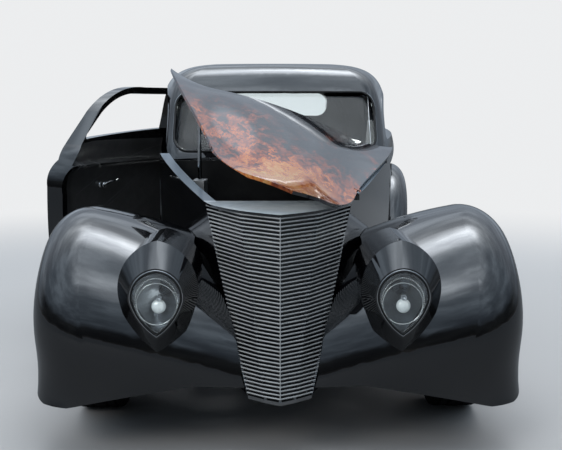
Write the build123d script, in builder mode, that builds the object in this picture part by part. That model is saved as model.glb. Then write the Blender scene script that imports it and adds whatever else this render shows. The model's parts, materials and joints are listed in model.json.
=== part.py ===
from math import asin, cos, radians, sin

from build123d import *
import os

os.makedirs("parts", exist_ok=True)

# Hot rod coupe in millimetres. Car coordinates: X = 0 on the centre line with the car's left at +X,
# Y = 0 at the tip of the grille and growing to the rear, Z = 0 on the ground.
# The row origin is the bottom centre of the whole car's bounding box.
ROW_X = -125.2
ROW_Y = 2197.2

# Running gap between pieces that turn or slide on each other
SEAT = 0.3

# Wheels
FRONT_AXLE_Y = 800
REAR_AXLE_Y = 3645
FRONT_RADIUS = 318
REAR_RADIUS = 345
FRONT_X = 728
REAR_X = 735
FRONT_WIDTH = 205
REAR_WIDTH = 245
KINGPIN_X = 640
REAR_HUB_X = 640
AXLE_TUBE = 38
SPINDLE_R = 30
DISC_RADIUS = 145
DISC_THICK = 18
FRONT_DISC_X = 697
REAR_DISC_X = 667
BRAKE_GAP = 6

# Doors: vertical hinge at the rear edge
DOOR_HINGE_X = 704
DOOR_HINGE_Y = 2680
DOOR_REACH = 1045
DOOR_OPEN = 33
DOOR_GAP = 6

# Hood: hinge along its left edge
HOOD_A = (292, 500, 900)
HOOD_B = (571, 1565, 1046)
HOOD_OPEN = 20.4
HOOD_THICK = 12

# Decklid: hinge across the car at its front edge
DECK_HINGE_Y = 3440
DECK_HINGE_Z = 1040


def save(name, part):
    part.label = name
    export_step(part.moved(Location((-ROW_X, -ROW_Y, 0))), f"parts/{name}.step")


def save_pair(name, left):
    save(f"{name}_left", left)
    save(f"{name}_right", mirror(left, about=Plane.YZ))


def box(x0, x1, y0, y1, z0, z1):
    return Pos((x0 + x1) / 2, (y0 + y1) / 2, (z0 + z1) / 2) * Box(x1 - x0, y1 - y0, z1 - z0)


def rod_along_x(radius, x0, x1, y, z):
    return Pos((x0 + x1) / 2, y, z) * Rot(0, 90, 0) * Cylinder(radius, x1 - x0)


def post(radius, x, y, z0, z1):
    return Pos(x, y, (z0 + z1) / 2) * Cylinder(radius, z1 - z0)


def both_sides(part):
    return part + mirror(part, about=Plane.YZ)


# Lower body: half widths and heights of the sections from cowl to tail
TUB = (
    # y, floor half, belt half, belt z, top half, shoulder z, crown z
    (1568, 540, 566, 850, 516, 1000, 1016),
    (2000, 580, 622, 860, 560, 1020, 1040),
    (2680, 640, 692, 860, 625, 1030, 1055),
    (3250, 630, 690, 850, 600, 1005, 1045),
    (3750, 560, 632, 770, 500, 930, 990),
    (4150, 440, 520, 600, 380, 740, 805),
    (4420, 300, 380, 420, 250, 520, 565),
)
FLOOR_Z = 292 + SEAT
WALL = 92
ROOF_WALL = 42


def tub(side, top, low):
    with BuildPart() as p:
        for y, floor, belt, belt_z, half, shoulder_z, crown_z in TUB:
            f, b, t = floor - side, belt - side, half - side
            bz, sz, cz = belt_z - top, shoulder_z - top, crown_z - top
            flank, shoulder = ((f + b) / 2 + 12, (low + bz) / 2), ((b + t) / 2 + 17, (bz + sz) / 2 + 14)
            with BuildSketch(Plane.XZ.offset(-y)):
                with BuildLine():
                    Line((-f, low), (f, low))
                    ThreePointArc((f, low), flank, (b, bz))
                    ThreePointArc((b, bz), shoulder, (t, sz))
                    ThreePointArc((t, sz), (0, cz), (-t, sz))
                    ThreePointArc((-t, sz), (-shoulder[0], shoulder[1]), (-b, bz))
                    ThreePointArc((-b, bz), (-flank[0], flank[1]), (-f, low))
                make_face()
        loft()
    return p.part


# Roof and pillars: plan outlines from the belt to the roof
ROOF = (
    # z, front y, rear y, front half, middle half, rear half, corner radius
    (960, 1605, 3390, 545, 662, 540, 110),
    (1200, 1768, 3200, 537, 642, 500, 110),
    (1330, 1862, 3085, 520, 614, 455, 110),
    (1410, 1932, 2985, 485, 574, 405, 110),
    (1462, 2010, 2880, 425, 500, 335, 110),
    (1488, 2120, 2720, 310, 370, 230, 100),
)


def roof(inset, low, high):
    with BuildPart() as p:
        for z, front, rear, wf, wm, wr, corner in ROOF:
            z1 = z - low if z == ROOF[0][0] else z - high
            a, b, c = wf - inset, wm - inset, wr - inset
            y0, y1 = front + inset, rear - inset
            with BuildSketch(Plane.XY.offset(z1)) as s:
                with BuildLine():
                    ThreePointArc((-a, y0 + 60), (0, y0), (a, y0 + 60))
                    ThreePointArc((a, y0 + 60), (b, (y0 + y1) / 2), (c, y1 - 60))
                    ThreePointArc((c, y1 - 60), (0, y1), (-c, y1 - 60))
                    ThreePointArc((-c, y1 - 60), (-b, (y0 + y1) / 2), (-a, y0 + 60))
                make_face()
                fillet(s.vertices(), corner)
        loft()
    return p.part


shell = tub(0, 0, FLOOR_Z) + roof(0, 0, 0)
shell -= tub(WALL, 40, FLOOR_Z - 60) - box(-900, 900, 4385, 4500, 0, 1300)
shell -= roof(ROOF_WALL, 0, 38)
shell += box(-480, 480, 1568, 1600, FLOOR_Z, 982)

# Door outline as reach from the hinge against height, so its edges clear the opening as it turns
DOOR_LOW = 352
WINDOW_LOW = 1112


def door_tool(grow):
    r = DOOR_REACH + grow
    with BuildPart() as p:
        with BuildSketch(Plane.XZ):
            with BuildLine():
                Polyline((r, 850), (r, DOOR_LOW - grow), (0, DOOR_LOW - grow), (0, 1366 + grow),
                         (340, 1366 + grow))
                ThreePointArc((340, 1366 + grow), (590 + grow, 1330 + grow), (760 + grow, 1234))
                Line((760 + grow, 1234), (930 + grow, 1064))
                ThreePointArc((930 + grow, 1064), (1015 + grow, 965), (r, 850))
            make_face()
        revolve(axis=Axis.Z)
    tool = Pos(DOOR_HINGE_X, DOOR_HINGE_Y, 0) * p.part
    return tool & box(330, 1000, DOOR_HINGE_Y - 1300, DOOR_HINGE_Y - 14 + grow, 300, 1500)


with BuildPart() as door_window:
    with BuildSketch(Plane.XZ):
        with BuildLine():
            Line((330, 1330), (75, 1330))
            ThreePointArc((75, 1330), (50, 1321), (42, 1295))
            Line((42, 1295), (42, WINDOW_LOW + 25))
            Line((42, WINDOW_LOW + 25), (800, WINDOW_LOW - 22))
            ThreePointArc((800, WINDOW_LOW - 22), (822, 1100), (812, 1122))
            Line((812, 1122), (700, 1225))
            ThreePointArc((700, 1225), (560, 1300), (330, 1330))
        make_face()
    revolve(axis=Axis.Z)
window_cut = Pos(DOOR_HINGE_X, DOOR_HINGE_Y, 0) * door_window.part
window_cut = window_cut & box(330, 1000, DOOR_HINGE_Y - 1300, DOOR_HINGE_Y - 40, 300, 1500)

with BuildPart() as windows:
    with BuildSketch(Plane.XZ.offset(-1500)):
        with Locations((0, 1184)):
            RectangleRounded(1016, 286, 70)
    extrude(amount=-600)
    with BuildSketch(Plane.XZ.offset(-2800)):
        with Locations((0, 1272)):
            RectangleRounded(680, 150, 60)
    extrude(amount=-600)


# Door hinges: barrels on the hinge axis outside the skin, the upper of each pair on the body
def door_barrels(skin_x, z):
    lower = post(9, DOOR_HINGE_X, DOOR_HINGE_Y, z - 38, z - SEAT)
    lower += box(skin_x - 14, DOOR_HINGE_X + 4, DOOR_HINGE_Y - 52, DOOR_HINGE_Y - 17, z - 30, z - 10)
    lower += box(DOOR_HINGE_X - 5, DOOR_HINGE_X + 4, DOOR_HINGE_Y - 52, DOOR_HINGE_Y, z - 30, z - 10)
    upper = post(9, DOOR_HINGE_X, DOOR_HINGE_Y, z, z + 38) + post(4, DOOR_HINGE_X, DOOR_HINGE_Y, z - 30, z + 10)
    upper += box(skin_x - 14, DOOR_HINGE_X + 4, DOOR_HINGE_Y, DOOR_HINGE_Y + 52, z + 10, z + 30)
    return lower - post(4 + SEAT, DOOR_HINGE_X, DOOR_HINGE_Y, z - 39, z + 1), upper


low_door, low_body = door_barrels(672, 560)
high_door, high_body = door_barrels(688, 880)

door_left = (shell & door_tool(0)) - window_cut + low_door + high_door
door_right = mirror(door_left, about=Plane.YZ)
hinge_right = Axis((-DOOR_HINGE_X, DOOR_HINGE_Y, 0), (0, 0, 1))
save("door_left", door_left)
save("door_right", door_right.rotate(hinge_right, -DOOR_OPEN))


def deck_tool(grow):
    tool = rod_along_x(900 + grow, -390 - grow, 390 + grow, DECK_HINGE_Y, DECK_HINGE_Z)
    return tool & box(-390 - grow, 390 + grow, DECK_HINGE_Y + 14 - grow, 4600, 480, 1300)


deck_lid_arms, deck_body_arms = [], []
for x in (-230, 230):
    deck_lid_arms.append(rod_along_x(8, x, x + 28, DECK_HINGE_Y, DECK_HINGE_Z)
                         + box(x + 4, x + 24, DECK_HINGE_Y, DECK_HINGE_Y + 60, 1004, 1042)
                         - box(x, x + 30, DECK_HINGE_Y - 20, DECK_HINGE_Y + 13, 1000, 1031)
                         - rod_along_x(4 + SEAT, x - 1, x + 29, DECK_HINGE_Y, DECK_HINGE_Z))
    deck_body_arms.append(rod_along_x(8, x - 28, x - SEAT, DECK_HINGE_Y, DECK_HINGE_Z)
                          + rod_along_x(4, x - 20, x + 22, DECK_HINGE_Y, DECK_HINGE_Z)
                          + box(x - 24, x - 4, DECK_HINGE_Y - 60, DECK_HINGE_Y, 1006, 1042))
decklid = (shell & deck_tool(0)) + deck_lid_arms[0] + deck_lid_arms[1]
save("decklid", decklid)

arch = rod_along_x(400, -1100, 1100, REAR_AXLE_Y, REAR_RADIUS) - box(-586, 586, 3000, 4300, -200, 1200)
axle_slot = rod_along_x(AXLE_TUBE + 12, -REAR_HUB_X, REAR_HUB_X, REAR_AXLE_Y, REAR_RADIUS)
body_shell = shell - both_sides(door_tool(DOOR_GAP)) - deck_tool(DOOR_GAP) - windows.part - arch - axle_slot
body_shell = body_shell + both_sides(low_body + high_body) + deck_body_arms[0] + deck_body_arms[1]
save("body_shell", body_shell)

glass = (roof(16, 0, 0) - roof(22, 60, 6)) & windows.part
save("windshield_glass", glass.solids().sort_by(Axis.Y)[0])
save("rear_window_glass", glass.solids().sort_by(Axis.Y)[-1])

# Floor, bulkhead, dashboard and seat
floor_pan = box(-540, 540, 1604, 3240, 280, 292) + box(-535, 535, 3240, 3252, 280, 900)
floor_pan += box(-480, 480, 3240, 4120, 508, 520) & tub(WALL + 3, 43, FLOOR_Z - 60)
floor_pan += box(-60, 60, 1604, 2300, 292, 370)
save("floor_pan", floor_pan)
dashboard = box(-430, 430, 1700, 1800, 800, 950) + both_sides(box(405, 425, 1600 + SEAT, 1700, 800, 900))
save("dashboard", dashboard)
seat = box(-450, 450, 2350, 2840, 292 + SEAT, 560)
seat += Pos(0, 2905, 745) * Rot(-13, 0, 0) * Box(900, 130, 620)
seat -= box(-500, 500, 2300, 3300, 200, 292 + SEAT)
save("bench_seat", seat)

with BuildPart() as wheel_rim:
    with BuildSketch(Plane.XZ):
        with Locations((175, 0)):
            RegularPolygon(14, 8)
    revolve(axis=Axis.Z)
with BuildPart() as steering_wheel:
    add(wheel_rim.part)
    Cylinder(40, 30)
    with PolarLocations(0, 3, start_angle=90):
        Box(165, 26, 8, align=(Align.MIN, Align.CENTER, Align.CENTER))
    Cylinder(22, 300, align=(Align.CENTER, Align.CENTER, Align.MAX))
wheel_and_column = Pos(270, 2060, 935) * Rot(-62, 0, 0) * steering_wheel.part
wheel_and_column -= box(-430, 430, 1500, 1800 + SEAT, 790, 960)
save("steering_wheel", wheel_and_column.solids().sort_by(SortBy.VOLUME)[-1])

# Nose: a bowed prow of grille bars, level in the front view
GRILLE_LOW, GRILLE_HIGH = 250, 876
BARS = 46
SHELF_Z = 892


def prow(z):
    t = (z - 250) / 640
    half = 116 + 166 * t
    depth = 92 + 400 * max(t, 0) ** 1.3
    return (half, depth), (half * 0.5, depth * (0.42 - 0.1 * t)), (0, 0)


bars = []
for i in range(BARS):
    z = GRILLE_LOW + (GRILLE_HIGH - GRILLE_LOW) * i / (BARS - 1)
    a, b, c = prow(z)
    with BuildPart() as bar:
        with BuildSketch(Plane.XY.offset(z)):
            with BuildLine():
                Polyline(a, b, c, (0, 13), (b[0] - 5, b[1] + 7), (a[0] - 8, a[1] + 2), close=True)
            make_face()
            mirror(about=Plane.YZ)
        extrude(amount=6)
    bars.append(bar.part)
posts = []
for share in (0.0, 0.5):
    with BuildPart() as upright:
        for z in (238, 460, 670, SHELF_Z - 8 - SEAT):
            a, b, c = prow(z)
            x, y = (b[0] - 6, b[1] + 8) if share else (0, 9)
            with BuildSketch(Plane.XY.offset(z)):
                with Locations((x, y + 4)):
                    Rectangle(9, 14)
        loft(ruled=True)
    posts.append(upright.part)
low_a, low_b, low_c = prow(238)
with BuildPart() as lip:
    with BuildSketch(Plane.XY.offset(230)):
        with BuildLine():
            Polyline(low_a, low_b, (0, -2), (0, 60), (low_a[0], low_a[1] + 30), close=True)
        make_face()
        mirror(about=Plane.YZ)
    extrude(amount=12)
grille = lip.part.fuse(posts[0], posts[1], mirror(posts[1], about=Plane.YZ), *bars)
save("grille", grille)

# Nose shell: the body sides from the grille's edges to the cowl, with the shelf above the grille
RAIL = ((500, 892), (1566, 1030))
NOSE = (
    # z, front half, front y, cowl half
    (150, 92, 60, 520),
    (450, 170, 218, 552),
    (670, 226, 348, 562),
    (892, 284, 494, 566),
    (1040, 322, 590, 566),
)


def nose_core(inset, with_prow):
    with BuildPart() as p:
        for z, half, front, cowl in NOSE:
            a, b = half - inset, cowl - inset
            with BuildSketch(Plane.XY.offset(z)):
                with BuildLine():
                    if with_prow:
                        Polyline((a, front), (a * 0.5, front * 0.34), (0, 0), (-a * 0.5, front * 0.34), (-a, front))
                    else:
                        Line((-a, front), (a, front))
                    ThreePointArc((a, front), ((a + b) / 2 + 12, (front + 1566) / 2), (b, 1566))
                    Line((b, 1566), (-b, 1566))
                    ThreePointArc((-b, 1566), (-(a + b) / 2 - 12, (front + 1566) / 2), (-a, front))
                make_face()
        loft()
    return p.part


with BuildPart() as rail_cut:
    with BuildSketch(Plane.YZ.offset(-800)):
        with BuildLine():
            Polyline((-100, RAIL[0][1]), RAIL[0], RAIL[1], (1700, RAIL[1][1]), (1700, 1200), (-100, 1200),
                     close=True)
        make_face()
    extrude(amount=1600)
with BuildPart() as shelf:
    with BuildSketch(Plane.XY.offset(SHELF_Z - 8)):
        with BuildLine():
            Line((-284, 494), (-284, 520))
            Line((-284, 520), (284, 520))
            Line((284, 520), (284, 494))
            ThreePointArc((284, 494), (140, 150), (0, 0))
            ThreePointArc((0, 0), (-140, 150), (-284, 494))
        make_face()
    extrude(amount=8)

sides = nose_core(0, False) - nose_core(20, False)
sides -= box(-700, 700, 1560, 1700, 0, 1200)
sides -= box(-262, 262, -50, 560, 200, 1200) & nose_core(20, False).moved(Location((0, -40, 0)))
flange = (nose_core(0, False) - nose_core(46, False)) & (rail_cut.part.moved(Location((0, 0, -10))))
nose_shell = (sides + flange) - rail_cut.part
nose_shell -= box(-900, 900, 330, 1300, 0, 454) + box(-900, 900, 0, 330, 0, 242)
nose_shell -= box(-900, 900, 1300, 1700, 0, FLOOR_Z)
nose_shell += shelf.part

# Hood hinge barrels along its left edge, in two pairs
hood_dir = (Vector(*HOOD_B) - Vector(*HOOD_A))
unit = hood_dir.normalized()


def along_hood(radius, start, length):
    base = Vector(*HOOD_A) + unit * start
    return Plane(origin=base, x_dir=(0, 0, 1), z_dir=unit).location * Cylinder(
        radius, length, align=(Align.CENTER, Align.CENTER, Align.MIN))


hood_knuckles, nose_knuckles, hood_notches = [], [], []
for start in (110, 900):
    spot = Vector(*HOOD_A) + unit * (start - 15)
    base = Vector(*HOOD_A) + unit * (start + 15)
    hood_knuckles.append(along_hood(7, start, 30)
                         + box(base.X - 26, base.X, base.Y - 10, base.Y + 10, base.Z + 1, base.Z + 9))
    hood_notches.append(along_hood(3 + SEAT, start - 1, 32) + along_hood(13, start - 36, 36))
    nose_knuckles.append(along_hood(7, start - 30, 30 - SEAT) + along_hood(3, start - 20, 45)
                         + box(spot.X - 6, spot.X + 6, spot.Y - 10, spot.Y + 10, spot.Z - 24, spot.Z))

nose_shell = nose_shell + nose_knuckles[0] + nose_knuckles[1]
save("nose_shell", nose_shell.solids().sort_by(SortBy.VOLUME)[-1])
firewall = box(-535, 535, 1536, 1548, 420, 996) & nose_core(20 + SEAT, False)
save("firewall", firewall)

# Front fender: sections fanned round the axle
FRONT_FENDER = (
    # angle, inner x, inner radius, peak x, peak radius, outer x, shoulder radius, inner bulge
    (-12, 98, 700, 702, 712, 898, 480, 18),
    (15, 162, 640, 702, 712, 908, 480, 40),
    (40, 285, 530, 711, 660, 910, 480, 30),
    (65, 335, 445, 708, 578, 906, 460, 16),
    (90, 340, 415, 722, 530, 900, 430, 12),
    (120, 400, 440, 722, 548, 890, 440, 12),
    (150, 470, 530, 716, 620, 872, 470, 12),
    (177, 520, 780, 710, 806, 850, 560, 10),
)


def fan_loft(rows, centre_y, centre_z, skin, open_radius):
    with BuildPart() as p:
        for angle, xi, ri, xp, rp, xo, ro, bulge in rows:
            a = radians(angle)
            plane = Plane(origin=(0, centre_y, centre_z), x_dir=(1, 0, 0), z_dir=(0, -sin(a), -cos(a)))
            i, o, rim = xi + skin, xo - skin, ro - skin
            p0, p1, p2, p3, p4 = (i, open_radius), (i, ri - skin), (xp, rp - skin), (o, rim), (o, open_radius)
            with BuildSketch(plane):
                with BuildLine():
                    Line(p0, p1)
                    ThreePointArc(p1, ((i + xp) / 2, (ri + rp) / 2 - skin + bulge), p2)
                    ThreePointArc(p2, (xp + (o - xp) * 0.74, rp - skin - (rp - ro) * 0.31), p3)
                    Line(p3, p4)
                    Line(p4, p0)
                make_face()
        loft()
    return p.part


def fender(rows, centre_y, centre_z, arch_radius):
    outer = fan_loft(rows, centre_y, centre_z, 0, arch_radius)
    return outer - fan_loft(rows, centre_y, centre_z, 16, arch_radius - 60)


FENDER_END = 1546
front_fender = fender(FRONT_FENDER, FRONT_AXLE_Y, FRONT_RADIUS, 375)

# Headlamp pods on the fender noses: a teardrop ogive that grows back into the fender
LAMP_X, LAMP_Z = 428, 588


def teardrop(half, above, below, y):
    with BuildSketch(Plane.XZ.offset(-y)) as s:
        with BuildLine():
            for sign in (-1, 1):
                side = (LAMP_X + sign * half, LAMP_Z)
                ThreePointArc((LAMP_X, LAMP_Z + above), (LAMP_X + sign * half * 0.74, LAMP_Z + above * 0.7), side)
                ThreePointArc(side, (LAMP_X + sign * half * 0.66, LAMP_Z - below * 0.53), (LAMP_X, LAMP_Z - below))
        make_face()
    return s.sketch


pod_steps = [teardrop(half, above, below, y) for half, above, below, y in (
    (98, 114, 134, 50), (138, 203, 248, 112), (140, 205, 251, 470))]
pod = loft(pod_steps, ruled=True)
lamp_bore = extrude(teardrop(88, 104, 122, 40), amount=-125)
lamp_well = extrude(teardrop(102, 118, 140, 70), amount=-140)
inside = fan_loft(FRONT_FENDER, FRONT_AXLE_Y, FRONT_RADIUS, 16, 315)
front_fender = front_fender + (pod - inside) + (lamp_well & box(0, 1000, 0, 175, 0, 1000)) - lamp_bore
front_fender -= nose_core(-2, True)
with BuildPart() as grille_room:
    for z in (225, 400, 550, 700, SHELF_Z):
        a, b, c = prow(z)
        with BuildSketch(Plane.XY.offset(z)):
            with BuildLine():
                Polyline((0, -12), (b[0] + 6, b[1] - 8), (a[0] + 6, a[1] - 6), (a[0] + 6, a[1] + 60), (0, a[1] + 60),
                         close=True)
            make_face()
            mirror(about=Plane.YZ)
    loft(ruled=True)

# Lower edge of the fender's nose: x against height
with BuildPart() as below_nose:
    with BuildSketch(Plane.XZ.offset(0)):
        with BuildLine():
            Polyline((50, 258), (50, 0), (1000, 0), (1000, 186), (760, 188))
            ThreePointArc((760, 188), (560, 232), (310, 277))
            Line((310, 277), (50, 258))
        make_face()
    extrude(amount=-620)
front_fender -= below_nose.part
front_fender -= box(0, 1000, 560, 1750, -200, 200)
front_fender = front_fender.solids().sort_by(SortBy.VOLUME)[-1]
front_fender -= box(0, 1000, FENDER_END, 1700, 0, 1200)
front_fender -= tub(-SEAT, -SEAT, 100)
front_fender -= grille_room.part
save_pair("front_fender", front_fender.solids().sort_by(SortBy.VOLUME)[-1])
lens = extrude(teardrop(88 - SEAT, 104 - SEAT, 122 - SEAT, 50), amount=-5)
reflector = extrude(teardrop(88 - SEAT, 104 - SEAT, 122 - SEAT, 55 + SEAT), amount=-105)
bowl = Pos(LAMP_X, 30, LAMP_Z) * Sphere(118)
save_pair("headlamp_lens", lens)
save_pair("headlamp_reflector", reflector - (bowl & extrude(teardrop(84, 100, 117, 0), amount=-300)))

# Rear fender
REAR_FENDER = (
    (4, 640, 820, 770, 832, 850, 600, 12),
    (30, 650, 610, 780, 660, 880, 520, 14),
    (60, 640, 500, 790, 562, 898, 470, 14),
    (90, 620, 470, 790, 522, 900, 450, 14),
    (120, 580, 480, 780, 545, 895, 460, 14),
    (150, 500, 560, 720, 640, 880, 480, 14),
    (186, 400, 700, 640, 732, 850, 520, 14),
)


def tail_outline(y, grow):
    top, half = 640 + grow, 34 + grow
    with BuildSketch(Plane.XZ.offset(-y)) as sk:
        with BuildLine():
            ThreePointArc((640 - half, 600), (640, top), (640 + half, 600))
            Line((640 + half, 600), (640, 490 - 2 * grow))
            Line((640, 490 - 2 * grow), (640 - half, 600))
        make_face()
    return sk.sketch


rear_fender = fender(REAR_FENDER, REAR_AXLE_Y, REAR_RADIUS, 400)
rear_fender -= tub(-SEAT, -SEAT, 100)
rear_fender -= extrude(tail_outline(4150, SEAT), amount=-250)
rear_fender = rear_fender.solids().sort_by(SortBy.VOLUME)[-1]
save_pair("rear_fender", rear_fender)
tail_lamp = extrude(tail_outline(4215, 0), amount=-85) + extrude(tail_outline(4300, 0), amount=-24, taper=30)
save_pair("tail_lamp", tail_lamp)

# Running boards between the fenders, on outriggers of the frame
BOARD_TOP = 322
with BuildPart() as board:
    with BuildSketch(Plane.XY.offset(FLOOR_Z)):
        with BuildLine():
            Polyline((560, 1640), (660, 2690), (664, 2812), (838, 2812), (846, 1640), close=True)
        make_face()
    extrude(amount=BOARD_TOP - FLOOR_Z)
board_part = board.part - tub(-SEAT, 0, 100) - fan_loft(FRONT_FENDER, FRONT_AXLE_Y, FRONT_RADIUS, -SEAT, 315)
board_part -= fan_loft(REAR_FENDER, REAR_AXLE_Y, REAR_RADIUS, -SEAT, 340)
save_pair("running_board", board_part.solids().sort_by(SortBy.VOLUME)[-1])

# Hood: lofted closed between rails and prow, then opened on its hinge
HOOD = (
    # y, half width, edge z, valley x, valley z, crown z
    (-30, 294, 902, 150, 906, 918),
    (500, 294, 902, 160, 914, 936),
    (1000, 424, 970, 245, 972, 994),
    (1566, 571, 1048, 330, 1028, 1052),
)


def hood_section(half, edge, valley, valley_z, crown, low, high):
    h = crown - valley_z
    slope = asin(valley / ((valley ** 2 + h ** 2) / (2 * h)))
    for rise in (low, high):
        ThreePointArc((-valley, valley_z + rise), (0, crown + rise), (valley, valley_z + rise))
        for sign in (-1, 1):
            TangentArc((sign * valley, valley_z + rise), (sign * half, edge + rise),
                       tangent=(sign * cos(slope), -sin(slope)))
    for sign in (-1, 1):
        Line((sign * half, edge + low), (sign * half, edge + high))


def hood_loft(low, high):
    with BuildPart() as p:
        for y, half, edge, valley, valley_z, crown in HOOD:
            with BuildSketch(Plane.XZ.offset(-y)):
                with BuildLine():
                    hood_section(half, edge, valley, valley_z, crown, low, high)
                make_face()
        loft()
    return p.part


with BuildPart() as hood_plan:
    with BuildSketch(Plane.XY.offset(700)):
        with BuildLine():
            Line((-600, 1564), (600, 1564))
            Line((600, 1564), (600, 491))
            Line((600, 491), (291, 491))
            ThreePointArc((291, 491), (146, 143), (0, -8))
            ThreePointArc((0, -8), (-146, 143), (-291, 491))
            Line((-291, 491), (-600, 491))
            Line((-600, 491), (-600, 1564))
        make_face()
    extrude(amount=600)
hood_axis = Axis(HOOD_A, hood_dir)
HOOD_REST = 6

# Hood actuator in the plane square to the hinge through the rod's eye
STRUT_TOP = Vector(-342, 1100, 1238)
STRUT_LOW = Vector(-377, 1100, 385)
STRUT_LOW = STRUT_LOW - unit * (STRUT_LOW - STRUT_TOP).dot(unit)
strut_line = STRUT_TOP - STRUT_LOW
strut_len = strut_line.length
CYLINDER_TOP = 534
ROD_LOW = 350
strut_plane = Plane(origin=STRUT_LOW, x_dir=unit, z_dir=strut_line)


def along_unit(centre, radius, before, after):
    return Plane(origin=centre - unit * before, x_dir=strut_line, z_dir=unit).location * Cylinder(
        radius, before + after, align=(Align.CENTER, Align.CENTER, Align.MIN))


def plate_on_unit(centre, start, thick, low, high, wide):
    return Plane(origin=centre + unit * start, x_dir=strut_line, z_dir=unit).location * Pos(low, 0, 0) * Box(
        high - low, wide, thick, align=(Align.MIN, Align.CENTER, Align.MIN))


low_eye = along_unit(STRUT_LOW, 20, 12, 12)
low_eye_hole = along_unit(STRUT_LOW, 7 + SEAT, 20, 20)
top_eye = along_unit(STRUT_TOP, 16, 11, 11)
top_eye_hole = along_unit(STRUT_TOP, 7 + SEAT, 20, 20)
with BuildPart() as cylinder:
    with BuildSketch(strut_plane.offset(16)):
        Rectangle(54, 54)
    extrude(amount=CYLINDER_TOP - 16)
    add(low_eye)
    with BuildSketch(strut_plane.offset(40)):
        Circle(9 + SEAT)
    extrude(amount=500, mode=Mode.SUBTRACT)
    add(low_eye_hole, mode=Mode.SUBTRACT)
save("strut_cylinder", cylinder.part)
with BuildPart() as rod:
    with BuildSketch(strut_plane.offset(ROD_LOW)):
        Circle(9)
    extrude(amount=strut_len - ROD_LOW - 12)
    add(top_eye)
    add(top_eye_hole, mode=Mode.SUBTRACT)
save("strut_rod", rod.part)

hood_closed = (hood_loft(0, HOOD_THICK) & hood_plan.part) + hood_knuckles[0] + hood_knuckles[1]
hood_closed -= box(-300, 300, -50, 520, 700, SHELF_Z + HOOD_REST)
hood_open = (hood_closed - hood_notches[0] - hood_notches[1]).rotate(hood_axis, HOOD_OPEN)
over_hood = hood_loft(HOOD_THICK / 2, 200).rotate(hood_axis, HOOD_OPEN)
for start in (11 + SEAT, -15 - SEAT):
    hood_open += plate_on_unit(STRUT_TOP, start, 4, -14, 84, 30) - over_hood
save("hood", hood_open + along_unit(STRUT_TOP, 7, 16, 16))

# Frame, axles and drive
FRAME_END = 3960
frame = box(330, 385, 380, 1560, 250, 350) + box(330, 385, 1560, 3250, 180, 280 - SEAT)
frame += box(330, 385, 1480, 1560, 180, 350)
frame += box(330, 385, 3254, FRAME_END, 420, 500) + box(330, 385, 3254, 3340, 180, 500)
frame += box(330, 385, 3200, 3340, 180, 280 - SEAT)
frame += box(330, 385, REAR_AXLE_Y - 30, REAR_AXLE_Y + 30, REAR_RADIUS + AXLE_TUBE + SEAT, 430)
for y, inner in ((1900, 600), (2500, 660)):
    frame += box(385, 830, y, y + 40, 250, 280 - SEAT) + box(inner, 830, y, y + 40, 260, FLOOR_Z - SEAT)
frame = both_sides(frame)
frame += box(-385, 385, 380, 440, 250, 350) + box(-385, 385, 690, 740, 300, 360 - SEAT)
frame += box(-385, 385, 1100, 1180, 280, 360 - SEAT)
frame += box(-385, 385, 3150, 3230, 180, 280 - SEAT) + box(-385, 385, FRAME_END - 60, FRAME_END, 420, 500)
frame += along_unit(STRUT_LOW, 7, 24, 14) + plate_on_unit(STRUT_LOW, -24, 10, -95, 9, 40)
frame -= rod_along_x(12.5, -450, 450, 470, 300)
save("chassis_frame", frame)
save("engine_block", box(-230, 230, 640, 1440, 360, 800))
save("radiator", box(-235, 235, 560, 620, 380, 850) + box(-345, 345, 570, 610, 350 + SEAT, 380))

KINGPIN_LOW, KINGPIN_HIGH = 214, 426
arms = box(330, KINGPIN_X + 25, FRONT_AXLE_Y - 55, FRONT_AXLE_Y + 55, 190, KINGPIN_LOW - SEAT)
arms += box(360, KINGPIN_X + 25, FRONT_AXLE_Y - 35, FRONT_AXLE_Y + 35, KINGPIN_HIGH + SEAT, 446)
arms += box(350, 385, FRONT_AXLE_Y - 35, FRONT_AXLE_Y + 35, 350 + SEAT, 446)
suspension = both_sides(arms) + box(-385, 385, 770, 830, 190, 250 - SEAT)
save("front_suspension", suspension)


# Brake caliper over the disc's rear edge, with the arm that holds it short of the hub's face
def caliper(face, disc_x, y, z, arm_x):
    side = DISC_THICK / 2 + BRAKE_GAP
    body = box(face - 16, disc_x + side + 14, y + 92, y + 165, z - 48, z + 48)
    body -= rod_along_x(DISC_RADIUS + BRAKE_GAP, disc_x - side, disc_x + side, y, z)
    return body + box(arm_x, face - BRAKE_GAP, y, y + 150, z - 18, z + 18)


knuckle = post(24, KINGPIN_X, FRONT_AXLE_Y, KINGPIN_LOW, KINGPIN_HIGH)
knuckle += rod_along_x(44, KINGPIN_X, KINGPIN_X + 40, FRONT_AXLE_Y, FRONT_RADIUS)
knuckle += rod_along_x(SPINDLE_R, KINGPIN_X, FRONT_X + 40, FRONT_AXLE_Y, FRONT_RADIUS)
save_pair("knuckle", knuckle + caliper(KINGPIN_X + 40, FRONT_DISC_X, FRONT_AXLE_Y, FRONT_RADIUS, KINGPIN_X))

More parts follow.
